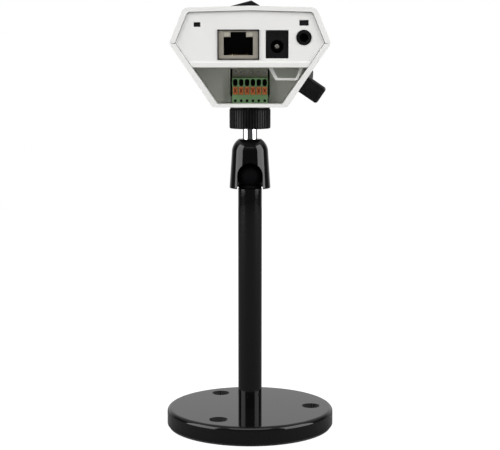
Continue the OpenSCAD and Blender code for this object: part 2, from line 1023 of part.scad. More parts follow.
module lens_body() {
  color("#232326")
    at_lens()
      difference() {
        turned([
          [8, -4], [thread_r, -4], [thread_r, 0.1], [barrel_r, 0.1], [barrel_r, 18],
          [tube_r, 18], [tube_r, 34], [11.2, 34], [11.2, 22], [5, 17.5], [5, 6], [8, 2]
        ]);
        translate([0, 0, 15.4])
          cylinder(r = 12.6, h = 1.8);
      }
}

// Drive of the iris, a boxed motor on the barrel's upper side
module iris_motor() {
  flat = motor_half_w - motor_chamfer;
  low_r = 14.5;
  color("#1c1c1e")
    at_lens(motor_back)
      rotate([0, 0, -motor_angle])
        difference() {
          union() {
            linear_extrude(motor_front - motor_back)
              polygon([
                [motor_half_w, low_r - 4], [motor_half_w, motor_r - motor_chamfer], [flat, motor_r],
                [-flat, motor_r], [-motor_half_w, motor_r - motor_chamfer], [-motor_half_w, low_r - 4]
              ]);
            translate([-motor_half_w, relief_at, 7.5])
              rotate([0, -90, 0])
                cylinder(r1 = 2.6, r2 = 2, h = relief_l);
          }
          translate([0, 0, -1])
            cylinder(r = barrel_r + fit, h = motor_front + 2);
        }
}

// Thin blade of the iris: a plate with a V-shaped notch, which slides across the light's way
module iris_blade(side) {
  at_lens(15.4)
    rotate([0, 0, -motor_angle])
      translate([0, 0, side > 0 ? 0.2 : 1])
        linear_extrude(0.4)
          polygon([
            [-6, side * 7.5], [-6, -side * 0.5], [-3, -side * 0.5], [0, side * 3],
            [3, -side * 0.5], [6, -side * 0.5], [6, side * 7.5]
          ]);
}

module iris_blade_upper() {
  color("#0e0e10")
    iris_blade(1);
}

module iris_blade_lower() {
  color("#0e0e10")
    iris_blade(-1);
}

module lens_ring(r, low, high, ribs) {
  difference() {
    translate([0, 0, low])
      linear_extrude(high - low)
        polygon(knurl(r, 0.4, ribs));
    translate([0, 0, low - 1])
      cylinder(r = tube_r + 0.1, h = high - low + 2);
    translate([0, 0, (low + high) / 2])
      rotate([0, 0, lock_angle])
        rotate([0, 90, 0])
          cylinder(r = 1.3, h = r + 2);
  }
}

module zoom_ring() {
  color("#2a2a2e")
    at_lens()
      lens_ring(zoom_ring_r, 18.3, 25, 60);
}

module focus_ring() {
  color("#2a2a2e")
    at_lens()
      lens_ring(focus_ring_r, 25.3, 32.3, 72);
}

// Thumbscrew that locks a lens ring
module lock_screw(along, r) {
  at_lens()
    translate([0, 0, along])
      rotate([0, 0, lock_angle])
        rotate([0, 90, 0]) {
          translate([0, 0, tube_r + 0.3])
            cylinder(r = 1.2, h = r - tube_r + 1);
          translate([0, 0, r + 0.3])
            linear_extrude(5)
              polygon(knurl(2.8, 0.25, 18));
        }
}

module zoom_lock_screw() {
  color("#cfd1d5")
    lock_screw(21.65, zoom_ring_r);
}

module focus_lock_screw() {
  color("#cfd1d5")
    lock_screw(28.8, focus_ring_r);
}

module front_ring() {
  color("#232326")
    at_lens()
      turned([
        [11.3, 34.05], [tube_r + 0.1, 34.05], [tube_r + 0.1, 32.7], [16, 32.7],
        [16.5, 33.2], [16.5, 35.5], [16, 36], [13.5, 36]
      ]);
}

module front_element() {
  color("#8090b0")
    at_lens()
      turned([[0, 28], [11.1, 28], [11.1, 31], [8, 32.2], [4, 32.9], [0, 33.1]]);
}

module rear_element() {
  color("#8090b0")
    at_lens()
      turned([[0, -3.6], [4, -3.3], [7.9, -2.2], [7.9, 0.5], [0, 0.5]]);
}

base_disc();
base_pad();
base_screw();
pole();
ball_stud();
ball_seat();
ball_clip();
bell_cap();
stem();
lock_knob();
lower_shell();
upper_shell();
rear_panel();
recess_liner();
cable_hook();
front_bezel();
bezel_screws();
shell_screws();
tripod_insert();
main_board();
board_screws();
processor();
flat_cable();
rj45_shield();
rj45_insert();
rj45_contacts();
rj45_lights();
dc_jack();
dc_pin();
audio_jack();
led_lens();
reset_button();
reset_switch();
terminal_header();
terminal_plug();
terminal_tab(1);  // terminal_tab_1
terminal_tab(2);  // terminal_tab_2
terminal_tab(3);  // terminal_tab_3
terminal_tab(4);  // terminal_tab_4
terminal_tab(5);  // terminal_tab_5
terminal_tab(6);  // terminal_tab_6
iris_socket();
iris_plug();
iris_lead();
cs_mount();
sensor_board();
image_sensor();
lens_body();
iris_motor();
iris_blade_upper();
iris_blade_lower();
zoom_ring();
focus_ring();
zoom_lock_screw();
focus_lock_screw();
front_ring();
front_element();
rear_element();
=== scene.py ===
"""Looks of a compact network security camera on a round-based stand, built round its CAD frame."""

import json
import math

import bmesh
import bpy
from mathutils import Matrix, Vector

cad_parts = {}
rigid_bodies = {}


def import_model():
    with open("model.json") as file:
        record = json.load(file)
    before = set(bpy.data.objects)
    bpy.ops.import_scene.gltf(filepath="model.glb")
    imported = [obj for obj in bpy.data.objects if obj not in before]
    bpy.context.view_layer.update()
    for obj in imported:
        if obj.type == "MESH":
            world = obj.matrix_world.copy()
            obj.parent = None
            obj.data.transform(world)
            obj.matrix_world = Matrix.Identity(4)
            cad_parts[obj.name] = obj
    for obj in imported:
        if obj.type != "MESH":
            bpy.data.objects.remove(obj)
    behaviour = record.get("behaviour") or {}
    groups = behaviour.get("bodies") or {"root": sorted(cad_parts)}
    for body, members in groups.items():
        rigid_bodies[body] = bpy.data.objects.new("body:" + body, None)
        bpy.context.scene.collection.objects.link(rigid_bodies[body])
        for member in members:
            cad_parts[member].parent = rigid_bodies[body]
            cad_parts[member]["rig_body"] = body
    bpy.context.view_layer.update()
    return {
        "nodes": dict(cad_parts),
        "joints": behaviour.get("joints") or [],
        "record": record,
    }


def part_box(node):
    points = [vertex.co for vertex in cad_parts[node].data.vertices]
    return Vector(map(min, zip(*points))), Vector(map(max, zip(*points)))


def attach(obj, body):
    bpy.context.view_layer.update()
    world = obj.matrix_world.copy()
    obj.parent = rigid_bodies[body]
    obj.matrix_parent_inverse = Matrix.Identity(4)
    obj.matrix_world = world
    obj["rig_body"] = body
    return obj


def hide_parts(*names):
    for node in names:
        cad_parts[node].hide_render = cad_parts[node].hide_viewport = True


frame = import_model()

MM = 0.001
TAU = 2 * math.pi
CAD = frame["nodes"]
JOINTS = {joint["name"]: joint for joint in frame["joints"]}
BALL = Vector(JOINTS["tilt"]["pos_m"])
LENS_Z = JOINTS["zoom_turn"]["pos_m"][2]


# ---------------------------------------------------------------- camera

CAMERA_DISTANCE = 0.6
CAMERA_PITCH = math.radians(7)
CAMERA_FOCAL = 98.5


def make_camera():
    data = bpy.data.cameras.new("view_camera")
    data.lens = CAMERA_FOCAL
    data.sensor_width = 36
    data.clip_start = 0.01
    data.clip_end = 50
    camera = bpy.data.objects.new("view_camera", data)
    bpy.context.scene.collection.objects.link(camera)
    camera.location = (0, CAMERA_DISTANCE, LENS_Z)
    camera.rotation_euler = (math.pi / 2 - CAMERA_PITCH, 0, math.pi)
    bpy.context.scene.camera = camera


make_camera()


# ---------------------------------------------------------------- materials


class Surface:
    """A node material, built up from a Principled shader and procedural layers."""

    def __init__(self, name, colour, roughness, metallic=0.0, ior=1.5, **inputs):
        self.material = bpy.data.materials.new(name)
        self.material.use_nodes = True
        self.nodes = self.material.node_tree.nodes
        self.links = self.material.node_tree.links
        self.shader = self.nodes["Principled BSDF"]
        self.colour = (*colour, 1.0)
        self.roughness = roughness
        self.set("Base Color", self.colour)
        self.set("Roughness", roughness)
        self.set("Metallic", metallic)
        self.set("IOR", ior)
        for key, value in inputs.items():
            self.set(key.replace("_", " "), value)
        self.coords = self.nodes.new("ShaderNodeTexCoord").outputs["Object"]

    def set(self, socket, value):
        self.shader.inputs[socket].default_value = value

    def noise(self, scale, detail=3.0, stretch=(1, 1, 1)):
        mapping = self.nodes.new("ShaderNodeMapping")
        mapping.inputs["Scale"].default_value = stretch
        noise = self.nodes.new("ShaderNodeTexNoise")
        noise.inputs["Scale"].default_value = scale
        noise.inputs["Detail"].default_value = detail
        self.links.new(self.coords, mapping.inputs["Vector"])
        self.links.new(mapping.outputs["Vector"], noise.inputs["Vector"])
        return noise.outputs["Fac"]

    def spread(self, value, low, high, from_low=0.35, from_high=0.65):
        """Maps a texture's middle range to low..high."""
        node = self.nodes.new("ShaderNodeMapRange")
        node.inputs["From Min"].default_value = from_low
        node.inputs["From Max"].default_value = from_high
        node.inputs["To Min"].default_value = low
        node.inputs["To Max"].default_value = high
        self.links.new(value, node.inputs["Value"])
        return node.outputs["Result"]

    def vary_roughness(self, scale, amount):
        value = self.spread(self.noise(scale), self.roughness - amount, self.roughness + amount)
        self.links.new(value, self.shader.inputs["Roughness"])
        return self

    def vary_colour(self, scale, other):
        mix = self.nodes.new("ShaderNodeMix")
        mix.data_type = "RGBA"
        mix.inputs["A"].default_value = self.colour
        mix.inputs["B"].default_value = (*other, 1.0)
        self.links.new(self.spread(self.noise(scale), 0.0, 1.0), mix.inputs["Factor"])
        self.links.new(mix.outputs["Result"], self.shader.inputs["Base Color"])
        return self

    def bump(self, height, strength, distance):
        node = self.nodes.new("ShaderNodeBump")
        node.inputs["Strength"].default_value = strength
        node.inputs["Distance"].default_value = distance
        self.links.new(height, node.inputs["Height"])
        normal = self.shader.inputs["Normal"]
        if normal.is_linked:
            self.links.new(normal.links[0].from_socket, node.inputs["Normal"])
        self.links.new(node.outputs["Normal"], normal)
        return self


def black_enamel():
    s = Surface("black_enamel", (0.003, 0.003, 0.0034), 0.07, ior=1.36)
    s.vary_roughness(160, 0.025)
    s.bump(s.noise(900, 3), 0.05, 0.01 * MM)
    return s.bump(s.noise(140, 2), 0.05, 0.03 * MM).material


def chrome():
    s = Surface("chrome", (0.86, 0.87, 0.89), 0.07, metallic=1)
    s.vary_roughness(300, 0.03)
    return s.bump(s.noise(60, 2, (1, 1, 40)), 0.05, 0.01 * MM).material


def turned_steel(name="steel", colour=(0.62, 0.62, 0.61), roughness=0.28):
    s = Surface(name, colour, roughness, metallic=1)
    s.vary_roughness(900, 0.07)
    return s.bump(s.noise(2500, 3), 0.12, 0.01 * MM).material


def brass():
    s = Surface("brass", (0.82, 0.62, 0.3), 0.25, metallic=1)
    s.vary_roughness(900, 0.06)
    return s.vary_colour(500, (0.7, 0.48, 0.2)).material


def tinned_shield():
    s = Surface("shield_metal", (0.36, 0.335, 0.285), 0.42, metallic=0.3)
    s.vary_roughness(500, 0.08)
    s.vary_colour(260, (0.33, 0.305, 0.26))
    return s.bump(s.noise(300, 3, (1, 1, 12)), 0.12, 0.01 * MM).material


def moulding(name, colour, other, roughness=0.42, grain=3200, strength=0.14, ior=1.5):
    """Injection-moulded plastic with a fine sparked texture."""
    s = Surface(name, colour, roughness, ior=ior)
    s.vary_roughness(240, 0.05)
    s.vary_colour(55, other)
    s.bump(s.noise(260, 2), 0.05, 0.03 * MM)
    return s.bump(s.noise(grain, 4), strength, 0.02 * MM).material


def rubber():
    s = Surface("rubber", (0.02, 0.02, 0.021), 0.62)
    s.vary_roughness(500, 0.08)
    s.vary_colour(120, (0.032, 0.032, 0.033))
    return s.bump(s.noise(1800, 3), 0.2, 0.03 * MM).material


def circuit_board():
    s = Surface("circuit_board", (0.012, 0.10, 0.035), 0.35)
    s.vary_colour(900, (0.03, 0.19, 0.07))
    return s.bump(s.noise(1500, 2), 0.1, 0.02 * MM).material


def anodised():
    s = Surface("anodised", (0.022, 0.022, 0.024), 0.36, metallic=0.3)
    s.vary_roughness(700, 0.06)
    return s.bump(s.noise(3500, 3), 0.12, 0.01 * MM).material


def coated_glass():
    s = Surface(
        "coated_glass", (0.9, 0.93, 1.0), 0.01, ior=1.62,
        Transmission_Weight=1.0, Coat_Weight=0.3, Coat_Tint=(0.45, 0.35, 1.0, 1.0),
    )
    return s.vary_roughness(90, 0.008).material


def smoked_window():
    s = Surface("smoked_window", (0.012, 0.012, 0.014), 0.12)
    return s.vary_roughness(900, 0.03).material


def light_window():
    s = Surface("light_window", (0.34, 0.325, 0.27), 0.3)
    s.vary_colour(900, (0.38, 0.36, 0.30))
    return s.vary_roughness(800, 0.05).material


def pale_floor():
    """Matt paper, lifted to the backdrop's white where the camera sees it."""
    s = Surface("pale_floor", (0.2, 0.2, 0.2), 0.8, ior=1.1)
    s.vary_roughness(12, 0.05)
    lift = s.spread(s.nodes.new("ShaderNodeLightPath").outputs["Is Camera Ray"], 0.0, FLOOR_LIFT, 0.0, 1.0)
    s.set("Emission Color", (1, 1, 1, 1))
    s.links.new(lift, s.shader.inputs["Emission Strength"])
    return s.bump(s.noise(220, 3), 0.03, 0.05 * MM).material


MATERIALS = {
    "enamel": black_enamel(),
    "chrome": chrome(),
    "steel": turned_steel(),
    "brass": brass(),
    "shield": tinned_shield(),
    "white": moulding("white_plastic", (0.75, 0.747, 0.732), (0.725, 0.722, 0.707)),
    # Painted shade: a darker, slightly greener copy of the white plastic, for the recess under the overhang
    "painted_shade_white": moulding("recess_painted_shade_white", (0.52, 0.535, 0.485), (0.47, 0.485, 0.44), 0.5),
    "black": moulding("black_plastic", (0.006, 0.006, 0.0065), (0.011, 0.011, 0.0115), 0.42, ior=1.32),
    "satin_black": moulding(
        "satin_black", (0.005, 0.005, 0.0055), (0.009, 0.009, 0.0095), 0.26, 2400, 0.06, 1.34,
    ),
    "nylon": moulding("nylon", (0.78, 0.76, 0.68), (0.7, 0.68, 0.6), 0.5),
    "grey_nylon": moulding("grey_nylon", (0.66, 0.645, 0.57), (0.5, 0.46, 0.38), 0.5),
    "green": moulding("green_plastic", (0.22, 0.40, 0.19), (0.19, 0.355, 0.165), 0.42),
    "orange": moulding("orange_plastic", (0.80, 0.27, 0.085), (0.70, 0.20, 0.06), 0.34),
    # Painted shade: dark red for the shade in the release tabs' cross slots
    "red_painted_shade": moulding("red_painted_shade", (0.30, 0.045, 0.015), (0.22, 0.03, 0.01), 0.4),
    # Painted shade: a dead matt black that stands for the shade in holes, gaps and the bell's arch
    "pit": moulding("painted_shade_black", (0.0025, 0.0025, 0.003), (0.005, 0.005, 0.006), 0.7, ior=1.1),
    "pale_pin": turned_steel("pale_pin", (0.5, 0.48, 0.44), 0.34),
    "rubber": rubber(),
    "board": circuit_board(),
    "anodised": anodised(),
    "glass": coated_glass(),
    "smoked": smoked_window(),
    "light_window": light_window(),
}


# ---------------------------------------------------------------- mesh tools


def new_piece(name, bm, material, crease=35):
    """Turns a bmesh into a smooth-shaded object whose edges stay sharp above the crease angle."""
    limit = math.radians(crease)
    bmesh.ops.recalc_face_normals(bm, faces=bm.faces)
    for face in bm.faces:
        face.smooth = True
    for edge in bm.edges:
        edge.smooth = edge.calc_face_angle(0.0) < limit
    mesh = bpy.data.meshes.new(name)
    bm.to_mesh(mesh)
    bm.free()
    piece = bpy.data.objects.new(name, mesh)
    bpy.context.scene.collection.objects.link(piece)
    mesh.materials.append(MATERIALS[material])
    weights = piece.modifiers.new("weighted_normals", "WEIGHTED_NORMAL")
    weights.keep_sharp = True
    return piece


def soften(bm, width, angle=30, segments=2):
    """Rounds every edge that is sharper than the angle."""
    limit = math.radians(angle)
    edges = [e for e in bm.edges if len(e.link_faces) == 2 and e.calc_face_angle(0.0) > limit]
    if edges:
        bmesh.ops.bevel(
            bm, geom=edges, offset=width, segments=segments, profile=0.5,
            affect="EDGES", clamp_overlap=True,
        )


def tidy(bm):
    """Merges doubled corners and joins flat neighbours, as CAD export splits them."""
    bmesh.ops.remove_doubles(bm, verts=bm.verts, dist=1e-6)
    bmesh.ops.dissolve_limit(bm, angle_limit=math.radians(1.0), verts=bm.verts, edges=bm.edges)


def refined(node, material, width=0.15 * MM, segments=2, angle=30):
    """A CAD node's shape with rounded edges and clean shading, in place of the node."""
    bm = bmesh.new()
    bm.from_mesh(CAD[node].data)
    tidy(bm)
    if width:
        soften(bm, width, angle, segments)
    stand_for(new_piece(node + "_fine", bm, material), node)


def stand_for(piece, node):
    """The piece takes the CAD node's place, on its body."""
    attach(piece, CAD[node]["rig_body"])
    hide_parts(node)


def add_on(piece, node):
    """The piece is a detail that rides with the CAD node."""
    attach(piece, CAD[node]["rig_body"])


def skin(bm, rings):
    """Walls between rings of equal length, and a face at each end."""
    count = len(rings[0])
    for low, high in zip(rings, rings[1:]):
        for k in range(count):
            bm.faces.new([low[k], low[(k + 1) % count], high[(k + 1) % count], high[k]])
    bm.faces.new(rings[-1])
    bm.faces.new(list(reversed(rings[0])))
    return bm


def on_circle(radius, height, angle):
    return radius * math.cos(angle), radius * math.sin(angle), height


def lathe_mesh(profile, segments=96, closed=True):
    """Turns (radius, height) points about Z. A closed profile's last point joins its first."""
    bm = bmesh.new()
    rings = []
    for radius, height in profile:
        if radius < 1e-9:
            rings.append([bm.verts.new((0, 0, height))] * segments)
            continue
        rings.append([bm.verts.new(on_circle(radius, height, TAU * k / segments)) for k in range(segments)])
    pairs = list(zip(rings, rings[1:]))
    if closed:
        pairs.append((rings[-1], rings[0]))
    for low, high in pairs:
        for k in range(segments):
            corners = [low[k], low[(k + 1) % segments], high[(k + 1) % segments], high[k]]
            corners = list(dict.fromkeys(corners))
            if len(corners) > 2:
                bm.faces.new(corners)
    return bm


def arc(cx, cy, radius, start, end, steps=8):
    """Points on an arc, angles in degrees."""
    return [
        (
            cx + radius * math.cos(math.radians(start + (end - start) * i / steps)),
            cy + radius * math.sin(math.radians(start + (end - start) * i / steps)),
        )
        for i in range(steps + 1)
    ]


def scaled(points):
    """An outline in millimetres, in metres."""
    return [(x * MM, y * MM) for x, y in points]


def cut(piece, cutters):
    """Subtracts meshes from a piece and applies the result."""
    for bm in cutters:
        bmesh.ops.recalc_face_normals(bm, faces=bm.faces)
        mesh = bpy.data.meshes.new("cutter")
        bm.to_mesh(mesh)
        bm.free()
        cutter = bpy.data.objects.new("cutter", mesh)
        bpy.context.scene.collection.objects.link(cutter)
        boolean = piece.modifiers.new("cut", "BOOLEAN")
        boolean.operation = "DIFFERENCE"
        boolean.solver = "EXACT"
        boolean.object = cutter
        bpy.context.view_layer.update()
        graph = bpy.context.evaluated_depsgraph_get()
        result = bpy.data.meshes.new_from_object(piece.evaluated_get(graph))
        piece.modifiers.remove(boolean)
        piece.data = result
        bpy.data.objects.remove(cutter)
        bpy.data.meshes.remove(mesh)


def cut_mesh(bm, cutters):
    """Subtracts meshes from a bmesh, and returns the result as a new bmesh."""
    mesh = bpy.data.meshes.new("blank")
    bmesh.ops.recalc_face_normals(bm, faces=bm.faces)
    bm.to_mesh(mesh)
    bm.free()
    blank = bpy.data.objects.new("blank", mesh)
    bpy.context.scene.collection.objects.link(blank)
    cut(blank, cutters)
    result = bmesh.new()
    result.from_mesh(blank.data)
    bpy.data.objects.remove(blank)
    tidy(result)
    return result


def ribbed_rings(radius, depth, count, levels):
    """A knurled cylinder: levels are (height, inset) pairs from bottom to top."""
    shape = [(0.08, 0), (0.42, 0), (0.58, 1), (0.92, 1)]
    bm = bmesh.new()
    rings = []
    for height, inset in levels:
        ring = []
        for i in range(count):
            for at, valley in shape:
                rib_radius = radius - inset - depth * valley
                ring.append(bm.verts.new(on_circle(rib_radius, height, TAU * (i + at) / count)))
        rings.append(ring)
    return skin(bm, rings)


def cylinder_mesh(radius, low, high, segments=64):
    return lathe_mesh([(0, low), (radius, low), (radius, high), (0, high)], segments, closed=False)


def box_mesh(low, high):
    bm = bmesh.new()
    bmesh.ops.create_cube(bm, size=1)
    for vert in bm.verts:
        for axis in range(3):
            vert.co[axis] = low[axis] if vert.co[axis] < 0 else high[axis]
    return bm


def place(bm, matrix):
    bm.transform(matrix)
    return bm


def merge(*meshes):
    """Joins several bmeshes into the first."""
    first = meshes[0]
    for bm in meshes[1:]:
        mesh = bpy.data.meshes.new("part")
        bm.to_mesh(mesh)
        bm.free()
        first.from_mesh(mesh)
        bpy.data.meshes.remove(mesh)
    return first


def rounded_rectangle(half_w, half_l, radius, steps=6):
    """Corner points of a rounded rectangle about the origin."""
    points = []
    for sx, sy, start in ((1, 1, 0), (-1, 1, 90), (-1, -1, 180), (1, -1, 270)):
        points += arc(sx * (half_w - radius), sy * (half_l - radius), radius, start, start + 90, steps)
    return points


def loft(sections):
    """Skins rounded rectangles: sections are (height, half width, half length, corner radius)."""
    bm = bmesh.new()
    rings = [
        [bm.verts.new((x, y, height)) for x, y in rounded_rectangle(half_w, half_l, radius)]
        for height, half_w, half_l, radius in sections
    ]
    return skin(bm, rings)


def tube(points, radii, sides=24):
    """A round tube through points, with a radius at each."""
    bm = bmesh.new()
    rings = []
    across = None
    for index, (point, radius) in enumerate(zip(points, radii)):
        ahead = (points[min(index + 1, len(points) - 1)] - points[max(index - 1, 0)]).normalized()
        side = ahead.orthogonal() if across is None else across - ahead * across.dot(ahead)
        across = side.normalized()
        up = ahead.cross(across)
        turns = [TAU * k / sides for k in range(sides)]
        rings.append([
            bm.verts.new(point + (across * math.cos(turn) + up * math.sin(turn)) * radius) for turn in turns
        ])
    return skin(bm, rings)


def smooth_route(points, steps=6):
    """A flowing curve through the points."""
    route = []
    for index in range(len(points) - 1):
        before = points[max(index - 1, 0)]
        start, end = points[index], points[index + 1]
        after = points[min(index + 2, len(points) - 1)]
        for step in range(steps):
            t = step / steps
            route.append(0.5 * (
                2 * start + (end - before) * t
                + (2 * before - 5 * start + 4 * end - after) * t ** 2
                + (3 * start - before - 3 * end + after) * t ** 3
            ))
    return route + [points[-1]]


# ---------------------------------------------------------------- stand


def base_disc():
    low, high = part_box("base_disc")
    radius = (high - low).x / 2 / MM
    bottom, top = low.z / MM, high.z / MM
    foot_chamfer, edge_radius, sink = 0.4, 1.8, 1.95
    profile = [(0, bottom), (radius - foot_chamfer, bottom), (radius, bottom + foot_chamfer)]
    profile += arc(radius - edge_radius, top - edge_radius, edge_radius, 0, 90, 10)
    profile += [(0, top)]
    bm = lathe_mesh(scaled(profile), 180, closed=False)
    pattern = next(m for m in frame["record"]["mounts"] if m["name"] == "fixing_holes")["dims"]
    hole = pattern["hole_r_mm"]
    cutters = []
    for k in range(pattern["count"]):
        turn = Matrix.Rotation(math.radians(60) + TAU * k / pattern["count"], 4, "Z")
        shift = Matrix.Translation((pattern["pcd_mm"] / 2 * MM, 0, 0))
        drill = [(0, bottom - 1), (hole, bottom - 1), (hole, top - sink)]
        drill += [(hole + sink, top), (hole + sink, top + 1), (0, top + 1)]
        cutters.append(place(lathe_mesh(scaled(drill), 48, closed=False), turn @ shift))
    bm = cut_mesh(bm, cutters)
    soften(bm, 0.12 * MM, 28, 2)
    stand_for(new_piece("base_disc_fine", bm, "enamel"), "base_disc")


def pole():
    low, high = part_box("pole")
    radius = (high - low).x / 2
    chamfer = 0.35 * MM
    dish_radius = 3.1 * MM
    dish_z = high.z - 0.7 * MM
    profile = [(0, low.z), (radius, low.z), (radius, high.z - chamfer), (radius - chamfer, high.z)]
    profile += [(dish_radius, high.z), (dish_radius, dish_z), (0, dish_z)]
    stand_for(new_piece("pole_fine", lathe_mesh(profile, 128, closed=False), "enamel"), "pole")


def ball_stud():
    """The ball and its shank, with a collar that is wider on the side of the bell's slot."""
    low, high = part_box("ball_stud")
    radius = (high - low).y / 2
    collar = 4.65 * MM
    shank = 2.4 * MM
    neck = BALL.z - 5.65 * MM
    lip_radius, lip_top, lip_back = 5.1 * MM, BALL.z - 4.5 * MM, 0.4 * MM
    reach = 9 * MM
    profile = [(0, low.z), (shank, low.z), (shank, neck), (collar - 0.8 * MM, neck)]
    profile += [(collar, BALL.z - 4.95 * MM), (collar - 0.2 * MM, BALL.z - 4.6 * MM)]
    profile += arc(0, BALL.z, radius, -45, 90, 34)
    behind = box_mesh((-reach, -reach, BALL.z - reach), (reach, lip_back, BALL.z))
    lip = cut_mesh(cylinder_mesh(lip_radius, neck, lip_top, 96), [behind])
    bm = merge(lathe_mesh(profile, 96, closed=False), lip)
    # The ball wears the dead matt black: partly the ball's own dark colour, partly painted shade inside the
    # bell's arch
    stand_for(new_piece("ball_stud_fine", bm, "pit"), "ball_stud")


def bell_cap():
    """A tapered bell with a round shoulder, and an arch cut for the pole."""
    low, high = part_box("bell_cap")
    bottom, top = low.z / MM, high.z / MM
    outer = (high - low).x / 2 / MM
    shoulder = 7.0
    taper_r, taper_z = 8.0, BALL.z / MM + 9.9
    inner = 7.0
    rim = 0.5
    lead_w, lead_h = 0.45, 0.9
    bore, bore_chamfer = 3.2, 0.4
    slot_radius, slot_reach = 5.6 * MM, 20 * MM
    profile = [(inner, bottom + lead_h), (inner + lead_w, bottom)]
    profile += arc(outer - rim, bottom + rim, rim, -90, 0, 5)
    profile += arc(taper_r - shoulder, taper_z, shoulder, 0, 56, 20)
    profile += [(bore + bore_chamfer, top), (bore, top - bore_chamfer), (bore, top - 5)]
    profile += [(inner - 1, top - 7), (inner, top - 8)]
    bm = lathe_mesh(scaled(profile), 192)
    arch = cylinder_mesh(slot_radius, 0, slot_reach, 96)
    place(arch, Matrix.Translation(BALL) @ Matrix.Rotation(-math.pi / 2, 4, "X"))
    below = box_mesh((-slot_radius, 0, (bottom - 2) * MM), (slot_radius, slot_reach, BALL.z))
    bm = cut_mesh(bm, [arch, below])
    soften(bm, 0.32 * MM, 40, 4)
    stand_for(new_piece("bell_cap_fine", bm, "enamel", 32), "bell_cap")


def stem():
    """A smooth shank, with thread turns where it goes into the camera."""
    low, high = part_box("stem")
    radius = (high - low).x / 2
    foot_chamfer, tip_chamfer = 0.4 * MM, 0.6 * MM
    thread_from = 142.8 * MM
    thread_depth = 0.5 * MM
    pitch = 25.4 / 20 * MM
    profile = [(0, low.z), (radius - foot_chamfer, low.z), (radius, low.z + foot_chamfer)]
    profile += [(radius, thread_from)]
    height = thread_from + 0.3 * MM
    while height + pitch < high.z - 0.5 * MM:
        profile += [(radius - thread_depth, height), (radius, height + pitch * 0.45)]
        profile += [(radius, height + pitch * 0.6)]
        height += pitch
    profile += [(radius - tip_chamfer, high.z), (0, high.z)]
    stand_for(new_piece("stem_fine", lathe_mesh(profile, 96, closed=False), "chrome"), "stem")


def lock_knob():
    """A ribbed drum under a thin plain flange."""
    low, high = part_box("lock_knob")
    radius = (high - low).x / 2
    rib_depth, rib_count = 0.42 * MM, 48
    flange_z = high.z - 1.2 * MM
    levels = [
        (low.z, 0.45 * MM), (low.z + 0.2 * MM, 0.15 * MM), (low.z + 0.5 * MM, 0.02 * MM),
        (flange_z - 0.5 * MM, 0), (flange_z, 0.5 * MM),
    ]
    ribs = ribbed_rings(radius, rib_depth, rib_count, levels)
    rim = radius - 0.25 * MM
    cap = [(0, flange_z - 0.1 * MM), (rim - 0.2 * MM, flange_z - 0.1 * MM), (rim, flange_z + 0.1 * MM)]
    cap += [(rim, high.z - 0.3 * MM), (rim - 0.3 * MM, high.z), (0, high.z)]
    bm = merge(ribs, lathe_mesh(cap, 96, closed=False))
    stand_for(new_piece("lock_knob_fine", bm, "black"), "lock_knob")


base_disc()
pole()
ball_stud()
bell_cap()
stem()
lock_knob()
refined("base_pad", "rubber")
refined("base_screw", "steel")
refined("ball_seat", "black", 0)
refined("ball_clip", "steel", 0.08 * MM)


# ---------------------------------------------------------------- camera body

for shell in ("upper_shell", "lower_shell"):
    refined(shell, "white", 0.28 * MM, 3, 28)
refined("rear_panel", "white", 0.14 * MM, 2)
# The recess liner wears the darker copy of the white plastic: painted shade for the shaded recess
refined("recess_liner", "painted_shade_white", 0.1 * MM, 2)
refined("cable_hook", "white", 0.3 * MM, 3)
refined("front_bezel", "white", 0.2 * MM, 2, 28)
for node in ("bezel_screws", "shell_screws", "board_screws", "cs_mount"):
    refined(node, "steel", 0.12 * MM)
refined("tripod_insert", "brass", 0.1 * MM)
refined("main_board", "board", 0.05 * MM)
refined("sensor_board", "board", 0.05 * MM)
refined("processor", "black", 0.1 * MM)
refined("flat_cable", "nylon", 0)
refined("image_sensor", "smoked", 0.08 * MM)


# ---------------------------------------------------------------- sockets

WIRES = 6
WIRE_PITCH = 2.5 * MM

refined("rj45_shield", "shield", 0.08 * MM)
refined("rj45_insert", "black", 0.08 * MM)
refined("rj45_contacts", "brass", 0.05 * MM)
refined("dc_jack", "satin_black", 0.12 * MM)
refined("dc_pin", "pale_pin", 0.1 * MM)
refined("audio_jack", "satin_black", 0.15 * MM)
refined("led_lens", "smoked", 0.1 * MM)
refined("reset_button", "black", 0.12 * MM)
refined("reset_switch", "black", 0.1 * MM)
refined("terminal_header", "grey_nylon", 0.1 * MM)
for index in range(1, WIRES + 1):
    refined(f"terminal_tab_{index}", "orange", 0.12 * MM)
refined("rj45_lights", "light_window", 0.1 * MM)


def upright(bm, x, y, z):
    """Turns a shape drawn along Z to point along +Y, at a place."""
    return place(bm, Matrix.Translation((x, y, z)) @ Matrix.Rotation(-math.pi / 2, 4, "X"))


def wire_places():
    """Where each wire's middle is along X."""
    return [(wire - (WIRES - 1) / 2) * WIRE_PITCH for wire in range(WIRES)]


def wire_entry(grow, depth):
    """A tall round-ended prism, for a wire's way in."""
    section = ((0.96 + grow) * MM, (1.5 + grow) * MM, 0.93 * MM)
    return loft([(0, *section), (depth, *section)])


